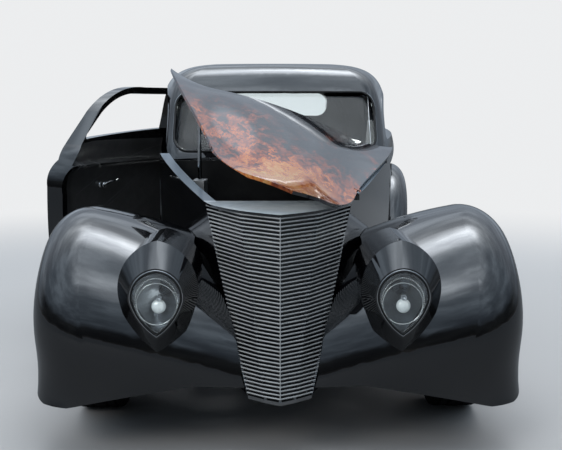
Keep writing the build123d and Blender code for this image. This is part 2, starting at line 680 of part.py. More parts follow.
axle = rod_along_x(AXLE_TUBE, -REAR_HUB_X, REAR_HUB_X, REAR_AXLE_Y, REAR_RADIUS)
axle += both_sides(rod_along_x(SPINDLE_R, 600, REAR_X + 50, REAR_AXLE_Y, REAR_RADIUS))
axle += Pos(0, REAR_AXLE_Y, REAR_RADIUS) * Rot(90, 0, 0) * Cylinder(115, 190)
axle += both_sides(caliper(REAR_HUB_X, REAR_DISC_X, REAR_AXLE_Y, REAR_RADIUS, 600))
save("rear_axle", axle)
save("fuel_tank", box(-340, 340, 3780, 4060, 300, 420 - SEAT))
pipe = Pos(280, 2915, 130) * Rot(90, 0, 0) * Cylinder(30, 2950)
pipes = both_sides(pipe)
pipes += both_sides(box(262, 298, 2560, 2600, 150, 280 - SEAT) + box(230, 298, 1440, 1500, 110, 280 - SEAT))
save("exhaust", pipes)


def tyre(radius, width, rim):
    h, r = width / 2, radius
    with BuildPart() as p:
        with BuildSketch(Plane.XZ):
            with BuildLine():
                Polyline((rim, -h + 22), (rim + 34, -h), (r - 34, -h + 3), (r - 5, -h + 24), (r, 0),
                         (r - 5, h - 24), (r - 34, h - 3), (rim + 34, h), (rim, h - 22), close=True)
            make_face()
        revolve(axis=Axis.Z)
    return Rot(0, 90, 0) * p.part


def wheel(rim, width, hub, disc):
    h = width / 2 - 14
    with BuildPart() as p:
        with BuildSketch(Plane.XZ):
            with BuildLine():
                Polyline((rim, -h), (rim - 12, -h), (rim - 16, 0), (rim - 22, h), (rim, h), close=True)
            make_face()
            with BuildLine():
                Polyline((SPINDLE_R + SEAT, -hub), (70, -hub), (78, h - 24), (50, h - 8), (SPINDLE_R + SEAT, h - 8),
                         close=True)
            make_face()
            with Locations((DISC_RADIUS / 2 + 25, disc)):
                Rectangle(DISC_RADIUS - 50, DISC_THICK)
        revolve(axis=Axis.Z)
        with Locations((0, 0, h - 34)):
            with PolarLocations(60, 5):
                Box(rim - 76, 54, 26, align=(Align.MIN, Align.CENTER, Align.CENTER))
    return Rot(0, 90, 0) * p.part


for label, y, x, r, w, rim, hub, disc in (
    ("front", FRONT_AXLE_Y, FRONT_X, FRONT_RADIUS, FRONT_WIDTH, 222, FRONT_X - KINGPIN_X - 40 - SEAT, FRONT_DISC_X - FRONT_X),
    ("rear", REAR_AXLE_Y, REAR_X, REAR_RADIUS, REAR_WIDTH, 234, REAR_X - REAR_HUB_X - SEAT, REAR_DISC_X - REAR_X),
):
    save_pair(f"tyre_{label}", Pos(x, y, r) * tyre(r, w, rim))
    save_pair(f"wheel_{label}", Pos(x, y, r) * wheel(rim - SEAT, w, hub, disc))
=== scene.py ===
import functools
import json
import math
import bmesh
import bpy
from mathutils import Matrix, Vector
from mathutils.bvhtree import BVHTree


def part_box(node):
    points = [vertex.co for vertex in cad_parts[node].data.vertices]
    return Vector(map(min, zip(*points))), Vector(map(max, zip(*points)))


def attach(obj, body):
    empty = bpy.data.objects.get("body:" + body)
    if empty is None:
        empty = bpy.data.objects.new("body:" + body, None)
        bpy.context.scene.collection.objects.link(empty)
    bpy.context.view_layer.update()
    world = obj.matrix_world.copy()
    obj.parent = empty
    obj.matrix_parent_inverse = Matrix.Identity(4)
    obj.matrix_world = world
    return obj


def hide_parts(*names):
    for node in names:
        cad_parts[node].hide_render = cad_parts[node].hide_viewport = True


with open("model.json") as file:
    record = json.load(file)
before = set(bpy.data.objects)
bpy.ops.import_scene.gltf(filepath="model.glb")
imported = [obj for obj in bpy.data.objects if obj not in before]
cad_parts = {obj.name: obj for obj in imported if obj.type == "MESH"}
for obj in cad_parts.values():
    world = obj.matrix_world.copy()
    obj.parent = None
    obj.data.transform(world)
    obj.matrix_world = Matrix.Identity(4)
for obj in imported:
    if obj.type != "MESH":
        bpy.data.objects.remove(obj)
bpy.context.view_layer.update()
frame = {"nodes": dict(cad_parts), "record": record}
NODES = frame["nodes"]

SIDES = (("left", 1), ("right", -1))

# From the car's own millimetres (X = 0 on the centre line, Y = 0 at the grille's tip) to the row frame
ROW_X, ROW_Y = -125.2, 2197.2

# The photograph's camera in car millimetres and degrees, and the photograph's frame in pixels
CAMERA_PLACE = (-50, -3350, 1250)
CAMERA_DOWN, CAMERA_RIGHT = 6.67, 0.9
PHOTO_WIDTH, PHOTO_MIDDLE_U, PHOTO_MIDDLE_V = 562, 281, 225
LENS_PIXELS, SENSOR_MM = 1000, 36

# The grille in millimetres: the lowest bar, the rise to the highest one and the number of bars
GRILLE_LOW, GRILLE_RISE, GRILLE_BARS = 250, 626, 46

# The nose's level shelf lies between these heights in metres, and its rails rise above it. Both take a
# painted reflection of the sky
SHELF_LOW, SHELF_HIGH = 0.8905, 0.8935

BLACK = (0.0, 0.0, 0.0)
PAINT_BLACK = (0.003, 0.003, 0.004)
SURROUNDINGS = (0.84, 0.85, 0.86)


def at(x, y, z):
    """A place in car millimetres as a place in the row frame in metres."""
    return Vector(((x - ROW_X) / 1000, (y - ROW_Y) / 1000, z / 1000))


# Materials
class Shader:
    """Short calls for the nodes of a shader tree, where each value is a socket or a plain number."""

    def __init__(self, tree, output):
        self.nodes = tree.nodes
        self.links = tree.links
        self.output = output

    def node(self, kind, *ins, out=0, **props):
        n = self.nodes.new("ShaderNode" + kind)
        for k, v in props.items():
            setattr(n, k, v)
        for i, v in enumerate(ins):
            if v is None:
                continue
            if isinstance(v, bpy.types.NodeSocket):
                self.links.new(v, n.inputs[i])
            else:
                n.inputs[i].default_value = v
        return n.outputs[out]

    def math(self, op, a, b=0.0, c=0.0, clamp=False):
        return self.node("Math", a, b, c, operation=op, use_clamp=clamp)

    def noise(self, v, scale, detail=2.0, rough=0.5, colour=False):
        n = self.nodes.new("ShaderNodeTexNoise")
        self.links.new(v, n.inputs["Vector"])
        for k, x in (("Scale", scale), ("Detail", detail), ("Roughness", rough)):
            n.inputs[k].default_value = x
        return n.outputs["Color" if colour else "Fac"]

    def voronoi(self, v, scale, feature="F1"):
        n = self.nodes.new("ShaderNodeTexVoronoi")
        n.feature = feature
        self.links.new(v, n.inputs["Vector"])
        n.inputs["Scale"].default_value = scale
        return n.outputs["Distance"]

    def ramp(self, fac, *stops):
        n = self.nodes.new("ShaderNodeValToRGB")
        self.links.new(fac, n.inputs[0])
        e = n.color_ramp.elements
        while len(e) < len(stops):
            e.new(0.5)
        for el, (p, c) in zip(e, stops):
            el.position = p
            el.color = (c, c, c, 1) if isinstance(c, (int, float)) else (*c, 1)
        return n.outputs[0]

    def span(self, v, a, b, lo=0.0, hi=1.0):
        """Runs smoothly from lo to hi while v runs from a to b."""
        n = self.nodes.new("ShaderNodeMapRange")
        n.interpolation_type = "SMOOTHSTEP"
        self.links.new(v, n.inputs[0])
        for i, x in enumerate((a, b, lo, hi)):
            n.inputs[i + 1].default_value = x
        return n.outputs[0]

    def mix(self, fac, a, b, mode="MIX"):
        n = self.nodes.new("ShaderNodeMix")
        n.data_type = "RGBA"
        n.blend_type = mode
        for s, v in ((n.inputs["Factor"], fac), (n.inputs[6], a), (n.inputs[7], b)):
            if isinstance(v, bpy.types.NodeSocket):
                self.links.new(v, s)
            else:
                s.default_value = (*v, 1) if isinstance(v, tuple) else v
        return n.outputs[2]

    def sep(self, v):
        n = self.nodes.new("ShaderNodeSeparateXYZ")
        self.links.new(v, n.inputs[0])
        return n.outputs

    def seen(self):
        """1 for what the camera sees, itself or through glass, and 0 for what lights or is mirrored."""
        rays = self.nodes.new("ShaderNodeLightPath").outputs
        return self.math("MAXIMUM", rays["Is Camera Ray"], rays["Is Transmission Ray"])

    def surface(self, shader):
        self.links.new(shader, self.nodes[self.output].inputs["Surface"])


class Mat(Shader):
    """A material on a principled shader."""

    def __init__(self, name, base, rough, metal=0.0, **sockets):
        self.material = bpy.data.materials.new(name)
        self.material.use_nodes = True
        super().__init__(self.material.node_tree, "Material Output")
        self.principled = self.nodes["Principled BSDF"]
        self.principled.inputs["Base Color"].default_value = (*base, 1)
        self.principled.inputs["Roughness"].default_value = rough
        self.principled.inputs["Metallic"].default_value = metal
        for k, v in sockets.items():
            self.principled.inputs[k.replace("_", " ")].default_value = v
        coordinates = self.nodes.new("ShaderNodeTexCoord")
        self.place = coordinates.outputs["Object"]
        self.facing = coordinates.outputs["Normal"]

    def bump(self, height, strength, distance):
        n = self.nodes.new("ShaderNodeBump")
        n.inputs["Strength"].default_value = strength
        n.inputs["Distance"].default_value = distance
        self.links.new(height, n.inputs["Height"])
        return n.outputs[0]

    def put(self, socket, v):
        self.links.new(v, self.principled.inputs[socket])


def paint(name, flames=False, pale_shelf=False):
    """Deep gloss black under clear coat, with orange peel, and road dust low down.

    flames adds the hood's artwork, and pale_shelf a painted sky reflection: pale on the nose's shelf, darker
    on its rails.
    """
    m = Mat(name, PAINT_BLACK, 0.12, Specular_IOR_Level=0.1, Coat_Weight=1.0, Coat_Roughness=0.012,
            Coat_IOR=2.0)
    height = m.sep(m.place)[2]
    specks = m.ramp(m.voronoi(m.place, 210.0), (0.0, 1.0), (0.055, 0.9), (0.085, 0.0))
    patch = m.ramp(m.noise(m.place, 6.0, 3.0), (0.42, 0.0), (0.62, 1.0))
    low = m.span(height, 0.75, 0.2)
    dust = m.math("MULTIPLY", m.math("MULTIPLY", specks, patch), low)
    cloud = m.ramp(m.noise(m.place, 2.4, 4.0), (0.35, 0.0), (0.8, 1.0))
    film = m.math("MULTIPLY", cloud, m.span(height, 0.5, 0.15, 0.0, 0.025))
    base = fire(m) if flames else PAINT_BLACK
    colour = m.mix(m.math("MULTIPLY", dust, 0.3), base, (0.42, 0.4, 0.36))
    colour = m.mix(film, colour, (0.3, 0.28, 0.25))
    # Painted reflection of the sky: a pale colour without clear coat on the shelf's level faces, and a darker
    # one on the rails
    if pale_shelf:
        level = m.math("GREATER_THAN", m.sep(m.facing)[2], 0.9)
        face = m.math("MULTIPLY", level, m.math("GREATER_THAN", height, SHELF_LOW))
        painted_sky_reflection = m.ramp(m.noise(m.place, 5.0, 4.0), (0.35, (0.74, 0.85, 0.93)), (0.65, (0.95, 0.98, 1.0)))
        painted_sky_reflection = m.mix(m.math("GREATER_THAN", height, SHELF_HIGH), painted_sky_reflection, (0.26, 0.31, 0.36))
        colour = m.mix(face, colour, painted_sky_reflection)
        m.put("Coat Weight", m.math("SUBTRACT", 1.0, face))
    m.put("Base Color", colour)
    m.put("Roughness", m.span(m.noise(m.place, 30.0, 3.0), 0.3, 0.7, 0.12, 0.18))
    m.put("Normal", m.bump(m.noise(m.place, 420.0, 1.0), 0.03, 0.0006))
    m.put("Coat Normal", m.bump(m.noise(m.place, 260.0, 1.0), 0.02, 0.0006))
    return m


def fire(m):
    """Soft airbrushed flames that stream rearward over the hood and thin out towards its rear edge."""
    flow = m.node("Mapping", m.place, None, None, (6.4, 2.5, 3.4))
    warp = m.noise(flow, 1.3, 4.0, 0.6, colour=True)
    drift = m.node("VectorMath", warp, (2.2, 3.0, 1.4), operation="MULTIPLY")
    moved = m.node("VectorMath", flow, drift, operation="ADD")
    mass = m.noise(moved, 0.62, 3.0, 0.5)
    ridge = m.math("ABSOLUTE", m.math("SUBTRACT", m.noise(moved, 1.5, 4.0, 0.55), 0.5))
    licks = m.math("SUBTRACT", 1.0, m.math("MULTIPLY", ridge, 7.0), clamp=True)
    fine = m.noise(m.node("VectorMath", moved, (3.1, 1.7, 0.4), operation="ADD"), 3.4, 4.0, 0.62)
    heat = m.math("ADD", m.math("MULTIPLY", mass, 0.62), m.math("MULTIPLY", licks, 0.15))
    heat = m.math("ADD", heat, m.math("MULTIPLY", fine, 0.26))
    y = m.sep(m.place)[1]
    heat = m.math("ADD", heat, m.span(y, -2.2, -0.85, 0.10, -0.10))
    glow = m.ramp(heat, (0.42, (0.006, 0.007, 0.010)), (0.48, (0.10, 0.018, 0.008)),
                  (0.54, (0.36, 0.065, 0.015)), (0.60, (0.7, 0.17, 0.035)), (0.68, (0.92, 0.34, 0.08)),
                  (0.8, (1.0, 0.6, 0.22)))
    up = m.span(m.sep(m.facing)[2], 0.05, 0.25)
    fade = m.math("MULTIPLY", up, m.span(y, -0.80, -1.15, 0.05, 1.0))
    return m.mix(fade, (0.012, 0.014, 0.02), glow)


def plain(name, base, rough, metal=0.0, grain=400.0, depth=0.0002, strength=0.2, vary=0.25, **sockets):
    """Base look: colour and roughness that vary over the surface, and a fine grain."""
    m = Mat(name, base, rough, metal, **sockets)
    dark = tuple(c * (1 - vary) for c in base)
    light = tuple(min(1.0, c * (1 + vary)) for c in base)
    cloud = m.noise(m.place, 8.0, 5.0, 0.6)
    m.put("Base Color", m.mix(m.ramp(cloud, (0.3, 0.0), (0.7, 1.0)), dark, light))
    wear = m.noise(m.place, 21.6, 4.0)
    m.put("Roughness", m.span(wear, 0.25, 0.75, rough * 0.8, min(1.0, rough * 1.25)))
    m.put("Normal", m.bump(m.noise(m.place, grain, 3.0, 0.6), strength, depth))
    return m


def leather(name, base, rough=0.42):
    """Hide with a cell grain, soft folds and paler worn patches."""
    m = Mat(name, base, rough, Sheen_Weight=0.15)
    creases = m.ramp(m.voronoi(m.place, 420.0, "DISTANCE_TO_EDGE"), (0.0, 0.0), (0.12, 1.0))
    folds = m.noise(m.place, 40.0, 4.0, 0.6)
    height = m.math("ADD", m.math("MULTIPLY", creases, 0.6), m.math("MULTIPLY", folds, 0.6))
    m.put("Normal", m.bump(height, 0.15, 0.0004))
    worn = m.ramp(m.noise(m.place, 7.0, 5.0), (0.4, 0.0), (0.75, 1.0))
    m.put("Base Color", m.mix(worn, base, tuple(min(1, c * 1.5 + 0.01) for c in base)))
    m.put("Roughness", m.span(m.noise(m.place, 22.0, 3.0), 0.3, 0.7, rough * 0.8, rough * 1.2))
    return m


def brushed(name, base, rough, axis=(1, 60, 60)):
    """Metal with fine brush lines along the axis that has the scale 1."""
    m = Mat(name, base, rough, 1.0)
    lines = m.noise(m.node("Mapping", m.place, None, None, axis), 14.0, 3.0, 0.6)
    m.put("Roughness", m.span(lines, 0.3, 0.7, rough * 0.7, rough * 1.35))
    m.put("Normal", m.bump(lines, 0.12, 0.0003))
    cloud = m.noise(m.place, 5.0, 3.0)
    m.put("Base Color", m.mix(m.ramp(cloud, (0.35, 0.0), (0.7, 1.0)), tuple(c * 0.86 for c in base), base))
    return m


def glass(name, tint=(0.9, 0.95, 0.96)):
    """Clear glass that lets the light of the studio through to what is behind it."""
    m = Mat(name, tint, 0.0, Transmission_Weight=1.0, IOR=1.46)
    m.put("Roughness", m.span(m.noise(m.place, 14.0, 4.0), 0.45, 0.8, 0.0, 0.03))
    clear = m.node("BsdfTransparent", (*tint, 1))
    m.surface(m.node("MixShader", m.node("LightPath", out="Is Shadow Ray"), m.principled.outputs[0], clear))
    return m


def bars(name):
    """Polished bars, with the uprights between their levels in shade-black."""
    m = brushed(name, (0.5, 0.5, 0.5), 0.2)
    z = m.sep(m.place)[2]
    lowest, pitch = GRILLE_LOW / 1000, GRILLE_RISE / 1000 / (GRILLE_BARS - 1)
    slack, bar_height, bar_share = 0.0002, 0.0065, 0.47
    level = m.math("FRACT", m.math("DIVIDE", m.math("SUBTRACT", z, lowest - slack), pitch))
    above = m.math("GREATER_THAN", z, lowest + bar_height)
    between = m.math("MULTIPLY", m.math("GREATER_THAN", level, bar_share), above)
    m.put("Metallic", m.math("SUBTRACT", 1.0, between))
    bright = m.principled.inputs["Base Color"].links[0].from_socket
    m.put("Base Color", m.mix(between, bright, (0.012, 0.012, 0.012)))
    return m


MATS = {
    "body_paint": paint("gloss_black"),
    "hood_paint": paint("flame_black", flames=True),
    "polished_bars": bars("polished_bars"),
    "clear_glass": glass("clear_glass"),
    "chrome": plain("chrome", (0.86, 0.87, 0.88), 0.06, 1.0, vary=0.05, strength=0.03),
    "red_lens": plain("red_lens", (0.4, 0.006, 0.006), 0.12, vary=0.2, strength=0.1, Coat_Weight=1.0),
    "frame_black": plain("frame_black", (0.02, 0.02, 0.02), 0.42, vary=0.5, strength=0.3),
    "trim_black": plain("trim_black", (0.028, 0.028, 0.028), 0.5, grain=900.0, strength=0.4),
    "seat_leather": leather("seat_leather", (0.028, 0.026, 0.025)),
    "grey_housing": plain("grey_housing", (0.5, 0.5, 0.5), 0.38, strength=0.2),
    "engine_iron": plain("engine_iron", (0.035, 0.036, 0.038), 0.5, grain=160.0, depth=0.001, strength=0.4),
    "radiator_alloy": brushed("radiator_alloy", (0.25, 0.25, 0.25), 0.5),
    "cast_steel": plain("cast_steel", (0.1, 0.1, 0.1), 0.5, 0.6, grain=200.0, depth=0.0008, strength=0.4),
    "stainless": brushed("stainless", (0.55, 0.54, 0.52), 0.25, (60, 1, 60)),
    "tyre": plain("tyre_rubber", (0.018, 0.018, 0.018), 0.72, grain=500.0, strength=0.5, vary=0.35),
    "alloy_wheel": plain("alloy_wheel", (0.74, 0.74, 0.75), 0.17, 1.0, vary=0.1, strength=0.06),
}
CHROME = MATS["chrome"]
RUBBER = plain("rubber_seal", (0.015, 0.015, 0.015), 0.6, strength=0.4)
VINYL = leather("door_vinyl", (0.007, 0.007, 0.0075), 0.4)
# Real chrome given a darker colour for the dark surroundings it mirrors: a painted dark reflection
CHROME_PAINTED_DARK = plain("chrome_painted_dark", (0.42, 0.44, 0.47), 0.1, 1.0, vary=0.15, strength=0.03)
SHIELD = plain("lamp_shield", (0.92, 0.95, 0.98), 0.12, 0.1, vary=0.12, strength=0.1, Coat_Weight=1.0)
THREAD = plain("stitching", (0.10, 0.105, 0.11), 0.6, strength=0.5)
# Polished bar fronts, pale and partly matte: a painted highlight on real metal
BAR_EDGE = plain("bar_edges", (0.82, 0.82, 0.80), 0.22, 0.3, grain=900.0, strength=0.1, vary=0.1)
HIDE = leather("seat_hide", (0.028, 0.025, 0.024))
HIDE_THREAD = plain("seat_piping", (0.07, 0.065, 0.06), 0.5, grain=2500, depth=0.0001)

slots = {s["node"]: s["material_slot"] for s in frame["record"]["subparts"]}
for name, obj in NODES.items():
    obj.data.materials.clear()
    obj.data.materials.append(MATS[slots[name]].material)
# The lamp reflectors take the chrome with the painted dark reflection
for side, _ in SIDES:
    NODES[f"headlamp_reflector_{side}"].data.materials[0] = CHROME_PAINTED_DARK.material
# The nose's shell carries the painted sky reflection on its shelf and rails
NODES["nose_shell"].data.materials[0] = paint("nose_black", pale_shelf=True).material


# Stage, camera and light

# The floor's half size and where it fades into the surroundings, in metres
FLOOR_HALF, FADE_FROM, FADE_TO = 150, 2.6, 7.5


def mesh_piece(name, bm, material, body, smooth=True, stage=False):
    """Makes an object of a mesh and lets it ride on a body, or leaves it free of any body for the stage."""
    me = bpy.data.meshes.new(name)
    bmesh.ops.recalc_face_normals(bm, faces=bm.faces)
    bm.to_mesh(me)
    bm.free()
    o = bpy.data.objects.new(name, me)
    bpy.context.scene.collection.objects.link(o)
    me.materials.append(material.material)
    for p in me.polygons:
        p.use_smooth = smooth
    if stage:
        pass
    else:
        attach(o, body)
    return o


def lay_floor():
    """A pale floor that fades into the surroundings and is dark in what the paint mirrors."""
    m = Mat("floor", (0.2, 0.2, 0.2), 0.85)
    camera_ray = m.node("LightPath", out="Is Camera Ray")
    m.put("Base Color", m.mix(camera_ray, (0.12, 0.12, 0.12), (0.56, 0.54, 0.52)))
    far = m.span(m.node("VectorMath", m.place, operation="LENGTH", out="Value"), FADE_FROM, FADE_TO)
    haze = m.node("Emission", (*SURROUNDINGS, 1))
    m.surface(m.node("MixShader", m.math("MULTIPLY", far, m.seen()), m.principled.outputs[0], haze))
    bm = bmesh.new()
    bmesh.ops.create_grid(bm, x_segments=2, y_segments=2, size=FLOOR_HALF)
    mesh_piece("floor", bm, m, None, stage=True)


lay_floor()

cam = bpy.data.objects.new("camera", bpy.data.cameras.new("camera"))
bpy.context.scene.collection.objects.link(cam)
cam.location = at(*CAMERA_PLACE)
cam.rotation_euler = (math.radians(90 - CAMERA_DOWN), 0, math.radians(-CAMERA_RIGHT))
cam.data.lens = LENS_PIXELS / PHOTO_WIDTH * SENSOR_MM
bpy.context.scene.camera = cam


def hang_sky():
    """A soft cloudy sky that lights the car and shows in its paint, and plain surroundings for the camera."""
    world = bpy.data.worlds.new("world")
    bpy.context.scene.world = world
    world.use_nodes = True
    s = Shader(world.node_tree, "World Output")
    direction = s.node("TexCoord", out="Generated")
    across, rearward, up = s.sep(direction)
    aside = s.math("ABSOLUTE", across)

    ahead = s.ramp(up, (0.0, (0.08, 0.08, 0.08)), (0.03, (0.028, 0.031, 0.031)), (0.18, (0.04, 0.046, 0.05)),
                   (0.28, (0.2, 0.25, 0.31)), (0.5, (0.38, 0.47, 0.57)), (1.0, (0.62, 0.74, 0.87)))
    behind = s.ramp(up, (0.0, (0.16, 0.17, 0.18)), (0.05, (0.22, 0.26, 0.31)), (0.32, (0.42, 0.48, 0.56)),
                    (0.56, (0.62, 0.7, 0.8)), (0.8, (1.15, 1.25, 1.36)), (0.92, (1.5, 1.62, 1.75)),
                    (1.0, (0.62, 0.74, 0.87)))
    sky = s.mix(s.span(rearward, 0.1, 0.7), ahead, behind)
    overhead = s.ramp(up, (0.72, BLACK), (0.88, (0.95, 1.02, 1.1)), (0.93, (0.95, 1.02, 1.1)),
                      (1.0, (0.2, 0.22, 0.24)))
    overhead = s.mix(s.span(aside, 0.1, 0.6), overhead, BLACK)
    roof_light = s.ramp(up, (0.74, BLACK), (0.88, (3.2, 3.4, 3.65)), (0.95, (3.2, 3.4, 3.65)),
                        (1.0, (0.6, 0.64, 0.68)))
    roof_light = s.mix(s.span(aside, 0.08, 0.4), roof_light, BLACK)
    roof_light = s.mix(s.span(rearward, 0.2, 0.42), BLACK, roof_light)
    flattened = s.node("VectorMath", direction, (1.0, 1.0, 3.0), operation="MULTIPLY")
    clouds = s.ramp(s.noise(flattened, 1.9, 5.0, 0.55), (0.38, (0.62, 0.62, 0.63)), (0.5, (0.86, 0.86, 0.86)),
                    (0.66, (1.4, 1.38, 1.36)))
    whole = s.mix(1.0, s.mix(1.0, sky, overhead, "ADD"), roof_light, "ADD")

    lit = s.node("Background", s.mix(1.0, whole, clouds, "MULTIPLY"), 1.0)
    shown = s.node("Background", (*SURROUNDINGS, 1), 1.0)
    s.surface(s.node("MixShader", s.seen(), lit, shown))


hang_sky()


def area(name, place, aim, size, watts):
    """A soft light that shows in no reflection."""
    light = bpy.data.lights.new(name, "AREA")
    light.shape = "RECTANGLE"
    light.size, light.size_y = size
    light.energy = watts
    o = bpy.data.objects.new(name, light)
    bpy.context.scene.collection.objects.link(o)
    o.location = place
    o.rotation_euler = (Vector(aim) - Vector(place)).to_track_quat("-Z", "Y").to_euler()
    o.visible_glossy = False


area("top_light", (0.5, -0.5, 5.5), (0, 0, 0.5), (5.0, 6.5), 60)
area("front_light", (-3.2, -6.5, 3.6), (0, -1.0, 0.6), (3.0, 2.0), 90)
area("rear_light", (3.0, 6.0, 3.5), (0, 0.5, 0.6), (3.0, 2.0), 60)


# Helpers for added pieces
@functools.cache
def tree(node):
    """A node's faces, ready for rays."""
    me = NODES[node].data
    return BVHTree.FromPolygons([v.co.copy() for v in me.vertices], [tuple(p.vertices) for p in me.polygons])


def hit(node, origin, direction):
    """First point of a node that a ray meets, or None."""
    return tree(node).ray_cast(Vector(origin), Vector(direction).normalized())[0]


def pixel(u, v, node):
    """The point of a node that shows at a place in the photograph's frame."""
    forward = Vector(((u - PHOTO_MIDDLE_U) / LENS_PIXELS, (PHOTO_MIDDLE_V - v) / LENS_PIXELS, -1))
    ray = cam.rotation_euler.to_matrix() @ forward
    return hit(node, cam.location, ray)


def tube(name, points, radius, material, body, closed=False):
    """A round bar through points in the row frame."""
    cu = bpy.data.curves.new(name, "CURVE")
    cu.dimensions = "3D"
    sp = cu.splines.new("POLY")
    sp.points.add(len(points) - 1)
    for p, q in zip(sp.points, points):
        p.co = (*q, 1)
    sp.use_cyclic_u = closed
    cu.bevel_depth = radius
    cu.bevel_resolution = 2
    cu.use_fill_caps = True
    o = bpy.data.objects.new("tmp", cu)
    bpy.context.scene.collection.objects.link(o)
    bpy.context.view_layer.update()
    me = bpy.data.meshes.new_from_object(o.evaluated_get(bpy.context.evaluated_depsgraph_get()))
    bpy.data.objects.remove(o)
    bm = bmesh.new()
    bm.from_mesh(me)
    mesh_piece(name, bm, material, body)


def skin(bm, loops, ends=True):
    """Joins closed loops of vertices one to the next, and closes the first and last."""
    for a, b in zip(loops, loops[1:]):
        steps = len(a)
        for k in range(steps):
            bm.faces.new((a[k], a[(k + 1) % steps], b[(k + 1) % steps], b[k]))
    if ends:
        bm.faces.new(loops[0])
        bm.faces.new(loops[-1])


def ring(bm, place, axis, rows, steps=32):
    """Adds a turned form: rows of (radius, height along the axis) about an axis through a place."""
    q = Vector(axis).to_track_quat("Z", "Y")
    turns = [k * 2 * math.pi / steps for k in range(steps)]
    loops = []
    for r, h in rows:
        circle = (Vector((r * math.cos(a), r * math.sin(a), h)) for a in turns)
        loops.append([bm.verts.new(Vector(place) + q @ v) for v in circle])
    skin(bm, loops)


def hex_bolt(bm, place, axis, r, h):
    """A washer, a hexagon nut and the end of its stud."""
    ring(bm, place, axis, ((r * 1.35, -0.001), (r * 1.35, h * 0.18)), 20)
    ring(bm, place, axis, ((r, h * 0.15), (r, h * 0.85), (r * 0.86, h)), 6)
    ring(bm, place, axis, ((r * 0.5, h * 0.8), (r * 0.5, h * 1.5), (r * 0.4, h * 1.6)), 12)


# Wheels: tyres with road tread, nuts, cap and valve

# Each axle's place along the car and its height, in millimetres
AXLES = (("front", 800, 318), ("rear", 3645, 345))
WHEEL_FACE = 700

# The tread: heights and depths in metres, pitches and widths in steps round the tyre, and places across it
# in shares of half its width. Slots cut the shoulders, and fine sipes cut the middle rib
TREAD_STEPS, TREAD_HEIGHT, TREAD_GROOVES = 360, 0.012, (0.66, 0.29)
SLOT_DEPTH, SLOT_PITCH, SLOT_WIDTH, SLOT_SLANT, SLOTS_FROM = 0.005, 6, 1.2, 7, 0.3
SIPE_DEPTH, SIPE_PITCH, SIPE_WIDTH, SIPES_TO = 0.004, 12, 1.1, 0.2

# Sizes on the wheel's face and a place outside it where rays start, in metres
NUTS, NUT_CIRCLE, NUT_RADIUS, NUT_HEIGHT = 5, 0.057, 0.0095, 0.016
VALVE_CIRCLE = 0.206
OUTSIDE = 0.5
CAP_ROWS = ((0.036, -0.001), (0.036, 0.006), (0.031, 0.010), (0.029, 0.007), (0.012, 0.009), (0.001, 0.010))
VALVE_ROWS = ((0.004, -0.003), (0.004, 0.022), (0.0055, 0.023), (0.0055, 0.032), (0.003, 0.034))


def tyre_rows(w, R, bore):
    """The tyre's section as (place across, radius), from the inner bead over the tread to the outer one."""
    half = [(0.84 * w, bore), (0.87 * w, bore + 0.006), (0.93 * w, bore + 0.012), (0.945 * w, bore + 0.016),
            (0.965 * w, bore + 0.03), (0.985 * w, bore + 0.038), (0.999 * w, bore + 0.052),
            (0.999 * w, bore + 0.056), (0.99 * w, (bore + R) / 2 + 0.004), (0.975 * w, R - 0.034),
            (0.965 * w, R - 0.031), (0.955 * w, R - 0.026), (0.925 * w, R - 0.016), (0.86 * w, R - 0.006),
            (0.78 * w, R - 0.0025)]
    rows = [(-x, r) for x, r in half]
    for g in TREAD_GROOVES:
        rows += [(-(g + 0.055) * w, R - 0.0015), (-(g + 0.045) * w, R - 0.0085),
                 (-(g - 0.045) * w, R - 0.0085), (-(g - 0.055) * w, R - 0.001)]
    rows += [(-0.12 * w, R), (0.0, R)]
    return rows + [(-x, r) for x, r in reversed(rows[:-1])]


def tread_cut(x, r, w, R, k):
    """How deep the tread is cut at a place across the tyre and a step round it."""
    slant = k + abs(x) / w * SLOT_SLANT * (1 if x > 0 else -1)
    if r > R - TREAD_HEIGHT and abs(x) > SLOTS_FROM * w and slant % SLOT_PITCH < SLOT_WIDTH:
        return SLOT_DEPTH
    if r > R - SIPE_DEPTH and abs(x) < SIPES_TO * w and (slant + 3) % SIPE_PITCH < SIPE_WIDTH:
        return SIPE_DEPTH
    return 0.0


def tyre_piece(name, node, body, outward):
    """A tyre with tread blocks that takes the size, place and bore of the plain CAD one."""
    lo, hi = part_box(node)
    c = (lo + hi) / 2
    w, R = (hi.x - lo.x) / 2, (hi.z - lo.z) / 2
    bore = min(math.hypot(v.co.y - c.y, v.co.z - c.z) for v in NODES[node].data.vertices)
    bm = bmesh.new()
    loops = []
    for x, r in tyre_rows(w, R, bore):
        loop = []
        for k in range(TREAD_STEPS):
            a = 2 * math.pi * k / TREAD_STEPS
            s = r - tread_cut(x, r, w, R, k)
            loop.append(bm.verts.new((c.x + outward * x, c.y + s * math.cos(a), c.z + s * math.sin(a))))
        loops.append(loop)
    skin(bm, loops + loops[:1], ends=False)
    o = mesh_piece(name, bm, MATS["tyre"], body)
    for p in o.data.polygons:
        p.use_smooth = math.hypot(p.center.y - c.y, p.center.z - c.z) < R - TREAD_HEIGHT
    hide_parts(node)


